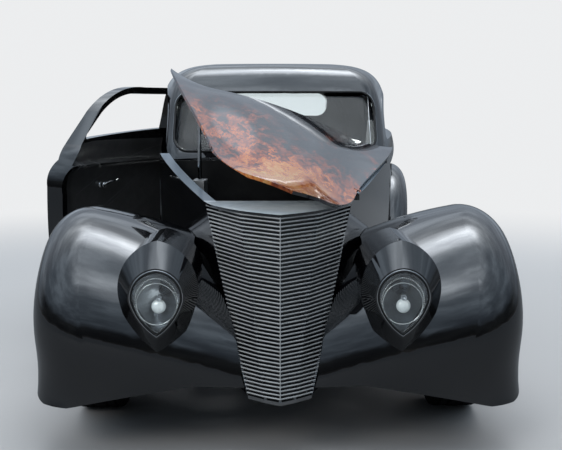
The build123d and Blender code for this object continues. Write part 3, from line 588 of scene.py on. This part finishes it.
def wheel_fittings(node, hub, sign):
    """The nuts, the centre cap and the valve, each set on the wheel's face where it lies."""
    bm = bmesh.new()

    def on_face(along, up):
        return hit(node, hub + Vector((sign * OUTSIDE, along, up)), (-sign, 0, 0))

    for k in range(NUTS):
        a = math.radians((180 + 360 * k) / NUTS)
        p = on_face(NUT_CIRCLE * math.cos(a), NUT_CIRCLE * math.sin(a))
        if p:
            hex_bolt(bm, p, (sign, 0, 0), NUT_RADIUS, NUT_HEIGHT)
    p = on_face(0.002, 0.001)
    if p:
        ring(bm, Vector((p.x, hub.y, hub.z)), (sign, 0, 0), CAP_ROWS, 36)
    p = on_face(VALVE_CIRCLE, 0)
    if p:
        ring(bm, p, (sign, -0.5, 0), VALVE_ROWS, 12)
    return bm


for end, axle_y, axle_z in AXLES:
    for side, sign in SIDES:
        body = f"{end}_wheel_{side}"
        tyre_piece(f"tread_{end}_{side}", f"tyre_{end}_{side}", body, sign)
        fittings = wheel_fittings(f"wheel_{end}_{side}", at(sign * WHEEL_FACE, axle_y, axle_z), sign)
        mesh_piece(f"nuts_{end}_{side}", fittings, CHROME, body)


# Grille: a rounded nose on each bar and a thin bar along the prow's edge, both pale as a painted highlight

# The prow in millimetres: its height, its half width and depth at the foot, and what they gain to the top
PROW_HEIGHT, PROW_HALF, PROW_HALF_GAIN, PROW_DEPTH, PROW_DEPTH_GAIN = 640, 116, 166, 92, 400

# The middle of a bar above its level, and its nose's section as places along the car and up, in millimetres
BAR_MIDDLE = 3
BAR_NOSE = ((2, 2.9), (-0.4, 2.3), (-1.0, 1.0), (-1.0, -1.0), (-0.4, -2.3), (2, -2.9))

# The thin bar along the prow's edge, pale as a painted highlight: how far it stands ahead, its ends above
# the lowest and highest bar, and its radius in metres
SPINE_AHEAD, SPINE_FROM, SPINE_PAST, SPINE_RADIUS = 2.5, 6, 8, 0.0017


def prow(z):
    """The end of a bar and the bend on its way, as (x, y) at a height."""
    t = (z - GRILLE_LOW) / PROW_HEIGHT
    half, depth = PROW_HALF + PROW_HALF_GAIN * t, PROW_DEPTH + PROW_DEPTH_GAIN * t ** 1.3
    return (half, depth), (half * 0.5, depth * (0.42 - 0.1 * t))


def bar_noses():
    """The rounded front of each bar, which follows the prow at its level."""
    bm = bmesh.new()
    for i in range(GRILLE_BARS):
        z = GRILLE_LOW + GRILLE_RISE * i / (GRILLE_BARS - 1)
        (ax, ay), (bx, by) = prow(z)
        path = ((-ax, ay), (-bx, by), (0, 0), (bx, by), (ax, ay))
        skin(bm, [[bm.verts.new(at(x, y + dy, z + BAR_MIDDLE + dz)) for dy, dz in BAR_NOSE] for x, y in path])
    return bm


mesh_piece("grille_edges", bar_noses(), BAR_EDGE, "car_body", smooth=False)
spine = [at(0, -SPINE_AHEAD, z) for z in (GRILLE_LOW + SPINE_FROM, GRILLE_LOW + GRILLE_RISE + SPINE_PAST)]
tube("grille_spine", spine, SPINE_RADIUS, BAR_EDGE, "car_body")

# Headlamps

# The middle of the lens, in millimetres from the centre line and above the ground
LAMP_X, LAMP_Z = 428, 588
LAMP_STEPS = 14
LAMP_TUBES = (
    # name, place along the car, half width, height above and below the middle, tube radius in metres
    ("lamp_rim", 50, 91, 107, 125.5, 0.0019, CHROME, "chrome"),
    ("lamp_gasket", 49, 86, 102, 120, 0.0036, RUBBER, None),
    ("lamp_edge", 54, 80, 95, 112, 0.001, CHROME_PAINTED_DARK, "chrome"),
)
SHIELD_ROWS = ((0.020, -0.03), (0.0255, 0.0), (0.0245, 0.004), (0.018, 0.0085), (0.010, 0.011),
               (0.001, 0.012))
BULB_ROWS = ((0.010, -0.03), (0.0105, 0.0), (0.0085, 0.002), (0.0075, -0.004), (0.001, -0.006))

# Places of the shield, the bulb, the step in the reflector and the flutes, in millimetres: x and z from the
# lens's middle, and y along the car
SHIELD_AT, BULB_AT, STEP_AT, FLUTES_AT = (5, 92, -26), (6, 84, 4), (0, 70, -14), (0, 64, -8)
STEP_HALF_WIDTH, STEP_HALF_HEIGHT, STEP_POINTS = 70, 73, 48

# The flutes' arc in degrees, half width and half height at its ends, and what these gain at the top
FLUTES, FLUTES_FROM, FLUTES_OVER = 44, -18, 216
FLUTES_HALF_WIDTH, FLUTES_HALF_HEIGHT, WIDTH_GAIN, HEIGHT_GAIN = 74, 76, 1.5, 9
FLUTE_SIZE, FLUTE_BEVEL = (0.0030, 0.006, 0.010), 0.0008


def arc(a, b, c, n):
    """Points of the arc from a by b to c, without c itself."""
    (ax, ay), (bx, by), (cx, cy) = a, b, c
    aa, bb, cc = ax**2 + ay**2, bx**2 + by**2, cx**2 + cy**2
    d = 2 * (ax * (by - cy) + bx * (cy - ay) + cx * (ay - by))
    ux = (aa * (by - cy) + bb * (cy - ay) + cc * (ay - by)) / d
    uy = (aa * (cx - bx) + bb * (ax - cx) + cc * (bx - ax)) / d
    r = math.hypot(ax - ux, ay - uy)
    start = math.atan2(ay - uy, ax - ux)
    turn = math.remainder(math.atan2(cy - uy, cx - ux) - start, 2 * math.pi)
    angles = [start + turn * k / n for k in range(n)]
    return [(ux + r * math.cos(t), uy + r * math.sin(t)) for t in angles]


def lamp_outline(x_middle, y, half, up, down):
    """The teardrop outline of the lamp, clockwise from its top, as points in the row frame."""
    right = arc((0, up), (half * 0.74, up * 0.7), (half, 0), LAMP_STEPS)
    right += arc((half, 0), (half * 0.66, -down * 0.53), (0, -down), LAMP_STEPS)
    left = [(-x, z) for x, z in reversed(right[1:])]
    return [at(x_middle + x, y, LAMP_Z + z) for x, z in right + [(0, -down)] + left]


def in_lamp(x_middle, place, across=0, up=0):
    """A place in the lamp, with steps across and up from it, in the row frame."""
    x, y, z = place
    return at(x_middle + x + across, y, LAMP_Z + z + up)


def turned(place, axis, rows, steps):
    """A turned form by itself."""
    bm = bmesh.new()
    ring(bm, place, axis, rows, steps)
    return bm


def lamp_flutes(x_middle):
    """Small bevelled blocks that stand round the reflector's upper edge."""
    bm = bmesh.new()
    for k in range(FLUTES):
        t = math.radians(FLUTES_FROM + FLUTES_OVER * k / (FLUTES - 1))
        rise = 0.5 + 0.5 * math.sin(t)
        across = (FLUTES_HALF_WIDTH + WIDTH_GAIN * rise) * math.cos(t)
        up = (FLUTES_HALF_HEIGHT + HEIGHT_GAIN * rise) * math.sin(t)
        p = in_lamp(x_middle, FLUTES_AT, across, up)
        m = Matrix.Translation(p) @ Matrix.Rotation(math.pi / 2 - t, 4, "Y")
        bmesh.ops.create_cube(bm, size=1, matrix=m @ Matrix.Diagonal((*FLUTE_SIZE, 1)))
    bmesh.ops.bevel(bm, geom=bm.edges[:], offset=FLUTE_BEVEL, segments=2, affect="EDGES")
    return bm


for side, sign in SIDES:
    x = sign * LAMP_X
    for name, y, half, up, down, radius, material, slot in LAMP_TUBES:
        tube(f"{name}_{side}", lamp_outline(x, y, half, up, down), radius, material, "car_body", True)
    shield = turned(in_lamp(x, SHIELD_AT), (0, -1, 0.12), SHIELD_ROWS, 40)
    mesh_piece(f"lamp_shield_{side}", shield, SHIELD, "car_body")
    bulb = turned(in_lamp(x, BULB_AT), (0, -1, 0), BULB_ROWS, 28)
    mesh_piece(f"lamp_bulb_{side}", bulb, CHROME_PAINTED_DARK, "car_body")
    turns = [2 * math.pi * k / STEP_POINTS for k in range(STEP_POINTS)]
    step = [in_lamp(x, STEP_AT, STEP_HALF_WIDTH * math.cos(t), STEP_HALF_HEIGHT * math.sin(t)) for t in turns]
    tube(f"lamp_step_{side}", step, 0.0016, CHROME, "car_body", True)
    mesh_piece(f"lamp_flutes_{side}", lamp_flutes(x), CHROME, "car_body")


# Window surrounds

# Each opening in millimetres: middle height, half width, half height, corner radius, where rays start and
# their way along the car
WINDSHIELD = (1184, 508, 143, 70, 1200, 1)
REAR_WINDOW = (1272, 340, 75, 60, 3900, -1)
WINDSHIELD_CORNER = 470
SURROUND_STEP, SURROUND_SINK = 40, 0.35


def rounded(half_w, half_h, r, n=8):
    """A rectangle with round corners, and with points along its sides about SURROUND_STEP apart."""
    pts = []
    for quarter, (right, up) in enumerate(((1, 1), (-1, 1), (-1, -1), (1, -1))):
        cx, cz = right * (half_w - r), up * (half_h - r)
        turns = [math.radians(90 * quarter + 90 * k / n) for k in range(n + 1)]
        pts += [(cx + r * math.cos(a), cz + r * math.sin(a)) for a in turns]
    full = []
    for (ax, az), (bx, bz) in zip(pts, pts[1:] + pts[:1]):
        m = max(1, int(math.hypot(bx - ax, bz - az) / SURROUND_STEP))
        full += [(ax + (bx - ax) * k / m, az + (bz - az) * k / m) for k in range(m)]
    return full


def surround(name, window, out, radius, material, keep=None):
    """A bar on the body shell round a window, all the way or where keep says so of a place across."""
    middle_z, half_w, half_h, r, from_y, way = window
    pts = []
    for x, z in rounded(half_w + out, half_h + out, r + out):
        if keep and not keep(x):
            continue
        p = hit("body_shell", at(x, from_y, middle_z + z), (0, way, 0))
        if p:
            pts.append(p + Vector((0, -way * radius * SURROUND_SINK, 0)))
    tube(name, pts, radius, material, "car_body", closed=keep is None)


surround("windshield_seal", WINDSHIELD, 6, 0.006, RUBBER)
for side, sign in SIDES:
    surround(f"windshield_trim_{side}", WINDSHIELD, 11, 0.0024, CHROME,
             lambda x, sign=sign: sign * x > WINDSHIELD_CORNER)
surround("rear_window_seal", REAR_WINDOW, 6, 0.0055, RUBBER)
surround("rear_window_trim", REAR_WINDOW, 14, 0.003, CHROME)

# Door trim

# The right door as it stands open: its hinge line, its angle and the way into the cabin
HINGE = at(-704, 2680, 0)
OPEN = math.radians(-33)
INWARD = Matrix.Rotation(OPEN, 3, "Z") @ Vector((1, 0, 0))

# The panel in millimetres from the hinge and above the ground, and its cells along and up
PANEL_FROM, PANEL_TO, PANEL_LOW, PANEL_TOP = 50, 985, 392, 1078
PANEL_COLUMNS, PANEL_ROWS = 64, 48
INSIDE_DOOR = 260

# Where the panel's top begins to fall, where its front corner begins, and the fall that each adds
SLOPE_FROM, SLOPE, CORNER_FROM, CORNER_SLOPE = 700, 0.10, 880, 1.25

# The padding's thickness at the edge and what it gains inwards, in metres
PANEL_EDGE, PANEL_PUFF = 0.0012, 0.0065

# The upper pair of seams: where it starts, its low height, its rise at the start, the length over which it
# falls, the power and slope of that fall and how far the two lie apart
SEAM_FROM, SEAM_LOW, SEAM_RISE, SEAM_RUN = 45, 560, 330, 760
SEAM_CURVE, SEAM_SLOPE, SEAM_APART = 1.15, 0.02, 62

# The height of the seam at the panel's foot
SEAM_FOOT = 470

# Each seam's depth in metres and half width in millimetres
SEAM_DEPTH, SEAM_WIDTH = 0.0035, 7.0
FOOT_DEPTH, FOOT_WIDTH = 0.0025, 6.0

# Places in the photograph's frame, in pixels: the handle's knob and tip, the rows of stitches and their
# pitch. A stitch's half length is a share of that pitch
HANDLE_KNOB, HANDLE_TIP = (99.5, 184.5), (115, 178.5)
STITCH_ROWS = (
    ((75, 195), (93, 180), (122, 160), (145, 149), (161, 144)),
    ((103, 205), (122, 188), (145, 167), (155, 158)),
    ((105, 207), (124, 190), (147, 169), (157, 160)),
)
STITCH_PITCH, STITCH_SHARE = 1.1, 0.4

# Sizes of the stitches, the knob and the lever, in metres
STITCH_RADIUS, STITCH_HEIGHT = 0.0011, 0.0082
KNOB_ROWS = ((0.019, 0.0), (0.019, 0.004), (0.013, 0.008), (0.010, 0.020), (0.014, 0.026), (0.012, 0.033),
             (0.001, 0.036))
KNOB_HEIGHT, LEVER_HEIGHT, LEVER_ARCH = 0.004, 0.020, 0.012
LEVER_HALF_WIDTH, LEVER_TAPER, LEVER_HALF_THICKNESS = 0.0085, 0.002275, 0.004
LEVER_STEPS, LEVER_SIDES, LEVER_STARTS = 14, 10, 0.16


def door_place(reach, z, inset):
    """A place by the open right door: reach from the hinge, height and way inwards, in millimetres."""
    local = Matrix.Rotation(OPEN, 4, "Z") @ Vector((inset / 1000, -reach / 1000, 0))
    return HINGE + local + Vector((0, 0, z / 1000))


def panel_top(r):
    """The panel's upper edge: level at first, then falling, and steep at the front corner."""
    return PANEL_TOP - SLOPE * max(0, r - SLOPE_FROM) - CORNER_SLOPE * max(0, r - CORNER_FROM)


def seam(r, z):
    """Depth of the sewn channels at a place on the panel, in metres."""
    along = r - SEAM_FROM
    upper = SEAM_LOW + along * SEAM_SLOPE + SEAM_RISE * max(0.0, 1 - along / SEAM_RUN) ** SEAM_CURVE
    d = min(abs(z - upper), abs(z - upper + SEAM_APART))
    foot = abs(z - SEAM_FOOT)
    return -SEAM_DEPTH * math.exp(-(d / SEAM_WIDTH) ** 2) - FOOT_DEPTH * math.exp(-(foot / FOOT_WIDTH) ** 2)


def door_panel():
    """A padded panel laid on the inner side of the right door."""
    bm = bmesh.new()
    grid = []
    for i in range(PANEL_COLUMNS + 1):
        r = PANEL_FROM + (PANEL_TO - PANEL_FROM) * i / PANEL_COLUMNS
        line = []
        for j in range(PANEL_ROWS + 1):
            z = PANEL_LOW + (panel_top(r) - PANEL_LOW) * j / PANEL_ROWS
            p = hit("door_right", door_place(r, z, INSIDE_DOOR), -INWARD)
            edge = min(1.0, min(i, PANEL_COLUMNS - i, j, PANEL_ROWS - j) / 2)
            puff = PANEL_EDGE + PANEL_PUFF * math.sqrt(edge) + seam(r, z)
            line.append(bm.verts.new(p + INWARD * puff) if p else None)
        grid.append(line)
    for a, b in zip(grid, grid[1:]):
        for k in range(PANEL_ROWS):
            q = (a[k], b[k], b[k + 1], a[k + 1])
            if None not in q:
                bm.faces.new(q)
    return bm


def stitches():
    """Threads on the panel along the rows of stitches."""
    bm = bmesh.new()
    for row in STITCH_ROWS:
        run = []
        for (u0, v0), (u1, v1) in zip(row, row[1:]):
            n = int(math.hypot(u1 - u0, v1 - v0) / STITCH_PITCH)
            for k in range(n):
                p = pixel(u0 + (u1 - u0) * k / n, v0 + (v1 - v0) * k / n, "door_right")
                if p:
                    run.append(p + INWARD * STITCH_HEIGHT)
        for p, q in zip(run, run[1:]):
            d = q - p
            m = Matrix.Translation((p + q) / 2) @ d.to_track_quat("X", "Z").to_matrix().to_4x4()
            m = m @ Matrix.Diagonal((d.length * STITCH_SHARE, STITCH_RADIUS, STITCH_RADIUS, 1))
            bmesh.ops.create_icosphere(bm, subdivisions=1, radius=1, matrix=m)
    return bm


def handle():
    """A turned knob and a tapered lever that arches away from it."""
    bm = bmesh.new()
    knob, tip = (pixel(*place, "door_right") + INWARD * KNOB_HEIGHT for place in (HANDLE_KNOB, HANDLE_TIP))
    ring(bm, knob, INWARD, KNOB_ROWS, 28)
    reach = tip - knob
    across = INWARD.cross(reach.normalized()).normalized()
    turns = [k * 2 * math.pi / LEVER_SIDES for k in range(LEVER_SIDES)]
    loops = []
    for k in range(LEVER_STEPS + 1):
        t = k / LEVER_STEPS
        arch = LEVER_HEIGHT + LEVER_ARCH * math.sin(math.pi * t)
        c = knob + reach * (LEVER_STARTS + (1 - LEVER_STARTS) * t) + INWARD * arch
        wide = across * (LEVER_HALF_WIDTH - LEVER_TAPER * t)
        thick = INWARD * LEVER_HALF_THICKNESS
        loops.append([bm.verts.new(c + wide * math.cos(a) + thick * math.sin(a)) for a in turns])
    skin(bm, loops)
    return bm


def to_left(v):
    """A place on the open right door to the closed left one."""
    closed = HINGE + Matrix.Rotation(-OPEN, 4, "Z") @ (v - HINGE)
    centre_line = at(0, 0, 0).x
    return Vector((2 * centre_line - closed.x, closed.y, closed.z))


def on_both_doors(name, make, material):
    """Makes a piece for the right door, and its mirrored copy for the left one."""
    mesh_piece(f"{name}_right", make(), material, "door_right")
    bm = make()
    for v in bm.verts:
        v.co = to_left(v.co)
    mesh_piece(f"{name}_left", bm, material, "door_left")


on_both_doors("door_trim", door_panel, VINYL)

# Bench seat: two crowned cushions with sewn channels and piping
FRONT, TOP = 1, 2
SEATS = (
    # name, centre and size in millimetres, tilt in degrees, crown, channelled side and depth of its channels
    ("seat_cushion", (0, 2582, 432), (896, 478, 250), 0, 0.10, TOP, 0.10),
    ("seat_back", (0, 2908, 742), (896, 126, 612), -13, 0.22, FRONT, 0.20),
)
CUSHION_CUTS, ROUNDNESS = 39, 7

# In shares of half the cushion: where a side counts as flat, and how far the ends pull in
FLAT, PULL_IN = 0.98, 0.012

# Channels in half the cushion's width, and a channel's width as a share of the space from one to the next
CHANNELS, CHANNEL_WIDTH = 5.5, 0.13

# How far the piping lies inside the cushion's size on each axis, in millimetres, and its radius in metres
PIPING_IN = {TOP: (20, 10, 28), FRONT: (16, 22, 14)}
PIPING_RADIUS = 0.004


def cushion(centre, size, turn, crown, face, depth):
    """A closed, crowned box whose sides pull in between the corners, as a grid bent to a superellipsoid."""
    bm = bmesh.new()
    bmesh.ops.create_cube(bm, size=2.0)
    bmesh.ops.subdivide_edges(bm, edges=bm.edges[:], cuts=CUSHION_CUTS, use_grid_fill=True)
    half = Vector(size) / 2
    other, outward = (FRONT, 1) if face == TOP else (TOP, -1)
    for v in bm.verts:
        c = v.co.copy()
        q = c * (max(abs(k) for k in c) / sum(abs(k) ** ROUNDNESS for k in c) ** (1 / ROUNDNESS))
        q[face] *= 1 - crown * (1 - (1 - q.x * q.x) * (1 - q[other] * q[other]))
        if c[face] * outward > FLAT:
            u = (c.x * CHANNELS) % 1.0
            channel = math.exp(-((min(u, 1 - u) / CHANNEL_WIDTH) ** 2))
            q[face] -= outward * depth * channel * (1 - c[other] ** 8)
        q.x *= 1 - PULL_IN * (1 - q.y * q.y) * (1 - q.z * q.z)
        v.co = at(*(turn @ Vector((q.x * half.x, q.y * half.y, q.z * half.z)) + centre))
    return bm


def piping(size, face):
    """The corners of the piped seam round a cushion's channelled side."""
    x, y, z = (k / 2 - inset for k, inset in zip(size, PIPING_IN[face]))
    if face == TOP:
        return [(-x, -y, z), (x, -y, z), (x, y, z), (-x, y, z)]
    return [(-x, -y, -z), (x, -y, -z), (x, -y, z), (-x, -y, z)]


for name, middle, size, tilt, crown, face, depth in SEATS:
    centre = Vector(middle)
    turn = Matrix.Rotation(math.radians(tilt), 3, "X")
    bm = cushion(centre, size, turn, crown, face, depth)
    pad = mesh_piece(name, bm, HIDE, "car_body")
    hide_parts("bench_seat")
    loop = [at(*(turn @ Vector(q) + centre)) for q in piping(size, face)]
    tube(f"{name}_piping", loop, PIPING_RADIUS, HIDE_THREAD, "car_body", closed=True)

on_both_doors("door_stitches", stitches, THREAD)
on_both_doors("door_handle", handle, CHROME)

bpy.context.scene.view_settings.view_transform = "Standard"
